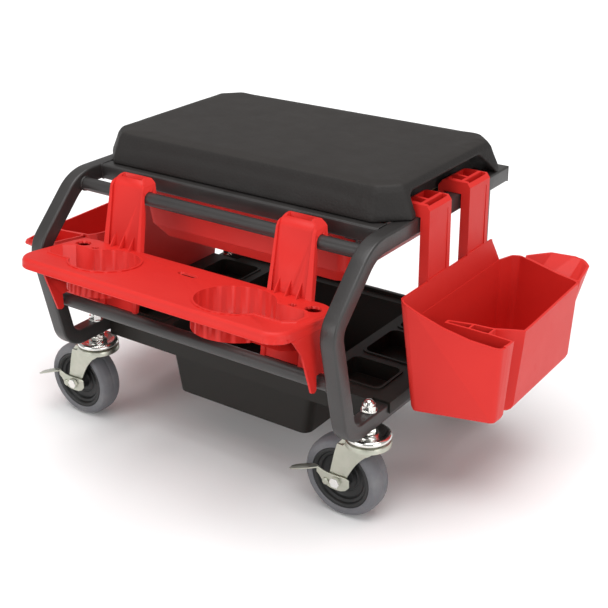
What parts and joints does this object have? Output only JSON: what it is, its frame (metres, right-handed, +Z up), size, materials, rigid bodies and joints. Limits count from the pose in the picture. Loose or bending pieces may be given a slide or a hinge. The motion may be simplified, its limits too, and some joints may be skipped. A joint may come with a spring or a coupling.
{
  "type": "mechanic's creeper seat",
  "caption": "Rolling mechanic's seat: black tube frame on swivel casters with a padded top, slide-out drawer, base tray, hook-on front tool tray and side bins.",
  "frame": {"origin": "on the floor, under the middle of the outline", "axes": "+X along the seat's long side, -Y towards the front tool tray, +Z up"},
  "size_m": [0.6688, 0.4734, 0.382],
  "materials": {
    "frame_paint": "satin black powder coat",
    "black_plastic": "fine grained matt",
    "red_plastic": "satin moulded",
    "seat_vinyl": "grained vinyl",
    "plywood": "raw",
    "zinc_plate": "zinc plated",
    "hub_plastic": "satin",
    "tyre_rubber": "matt"
  },
  "bodies": {
    "frame": {"side_frame_left": "frame_paint", "side_frame_right": "frame_paint", "front_seat_rail": "frame_paint", "rear_seat_rail": "frame_paint", "upper_cross_tube": "frame_paint", "lower_cross_tube": "frame_paint", "rear_leg_left": "frame_paint", "rear_leg_right": "frame_paint", "rear_base_rail": "frame_paint", "drawer_guide_left": "frame_paint", "drawer_guide_right": "frame_paint", "rail_end_caps": "black_plastic", "seat_board": "plywood", "seat_cushion": "seat_vinyl", "seat_screws": "zinc_plate", "base_tray": "black_plastic", "tray_screws": "zinc_plate", "stem_washers": "zinc_plate", "stem_nuts": "zinc_plate", "caster_head_fl": "zinc_plate", "caster_head_fr": "zinc_plate", "caster_head_rl": "zinc_plate", "caster_head_rr": "zinc_plate"},
    "drawer": {"drawer": "red_plastic"},
    "front_tray": {"front_tray": "red_plastic"},
    "bin_left": {"bin_left": "red_plastic"},
    "bin_right": {"bin_right": "red_plastic"},
    "fork_fl": {"caster_fork_fl": "zinc_plate", "caster_axle_fl": "zinc_plate", "wheel_bush_fl": "zinc_plate"},
    "wheel_fl": {"wheel_hub_fl": "hub_plastic", "wheel_tyre_fl": "tyre_rubber"},
    "brake_fl": {"brake_lever_fl": "zinc_plate"},
    "fork_fr": {"caster_fork_fr": "zinc_plate", "caster_axle_fr": "zinc_plate", "wheel_bush_fr": "zinc_plate"},
    "wheel_fr": {"wheel_hub_fr": "hub_plastic", "wheel_tyre_fr": "tyre_rubber"},
    "brake_fr": {"brake_lever_fr": "zinc_plate"},
    "fork_rl": {"caster_fork_rl": "zinc_plate", "caster_axle_rl": "zinc_plate", "wheel_bush_rl": "zinc_plate"},
    "wheel_rl": {"wheel_hub_rl": "hub_plastic", "wheel_tyre_rl": "tyre_rubber"},
    "fork_rr": {"caster_fork_rr": "zinc_plate", "caster_axle_rr": "zinc_plate", "wheel_bush_rr": "zinc_plate"},
    "wheel_rr": {"wheel_hub_rr": "hub_plastic", "wheel_tyre_rr": "tyre_rubber"}
  },
  "joints": [
    {"name": "drawer_slide", "type": "slide", "parent": "frame", "child": "drawer", "axis": [0, 1, 0], "range_m": [0, 0.19]},
    {"name": "front_tray_lift", "type": "slide", "parent": "frame", "child": "front_tray", "axis": [0, 0, 1], "range_m": [0, 0.025]},
    {"name": "bin_left_lift", "type": "slide", "parent": "frame", "child": "bin_left", "axis": [0, 0, 1], "range_m": [0, 0.0095]},
    {"name": "bin_right_lift", "type": "slide", "parent": "frame", "child": "bin_right", "axis": [0, 0, 1], "range_m": [0, 0.0095]},
    {"name": "swivel_fl", "type": "hinge", "parent": "frame", "child": "fork_fl", "pos_m": [-0.207, -0.0995, 0.105], "axis": [0, 0, 1], "continuous": true},
    {"name": "spin_fl", "type": "hinge", "parent": "fork_fl", "child": "wheel_fl", "pos_m": [-0.235, -0.0995, 0.05], "axis": [0, 1, 0], "continuous": true},
    {"name": "brake_press_fl", "type": "hinge", "parent": "fork_fl", "child": "brake_fl", "pos_m": [-0.235, -0.1205, 0.05], "axis": [0, 1, 0], "range_deg": [-15, 0]},
    {"name": "swivel_fr", "type": "hinge", "parent": "frame", "child": "fork_fr", "pos_m": [0.207, -0.0995, 0.105], "axis": [0, 0, 1], "continuous": true},
    {"name": "spin_fr", "type": "hinge", "parent": "fork_fr", "child": "wheel_fr", "pos_m": [0.179, -0.0995, 0.05], "axis": [0, 1, 0], "continuous": true},
    {"name": "brake_press_fr", "type": "hinge", "parent": "fork_fr", "child": "brake_fr", "pos_m": [0.179, -0.1205, 0.05], "axis": [0, 1, 0], "range_deg": [-15, 0]},
    {"name": "swivel_rl", "type": "hinge", "parent": "frame", "child": "fork_rl", "pos_m": [-0.207, 0.174, 0.105], "axis": [0, 0, 1], "continuous": true},
    {"name": "spin_rl", "type": "hinge", "parent": "fork_rl", "child": "wheel_rl", "pos_m": [-0.235, 0.174, 0.05], "axis": [0, 1, 0], "continuous": true},
    {"name": "swivel_rr", "type": "hinge", "parent": "frame", "child": "fork_rr", "pos_m": [0.207, 0.174, 0.105], "axis": [0, 0, 1], "continuous": true},
    {"name": "spin_rr", "type": "hinge", "parent": "fork_rr", "child": "wheel_rr", "pos_m": [0.179, 0.174, 0.05], "axis": [0, 1, 0], "continuous": true}
  ]
}
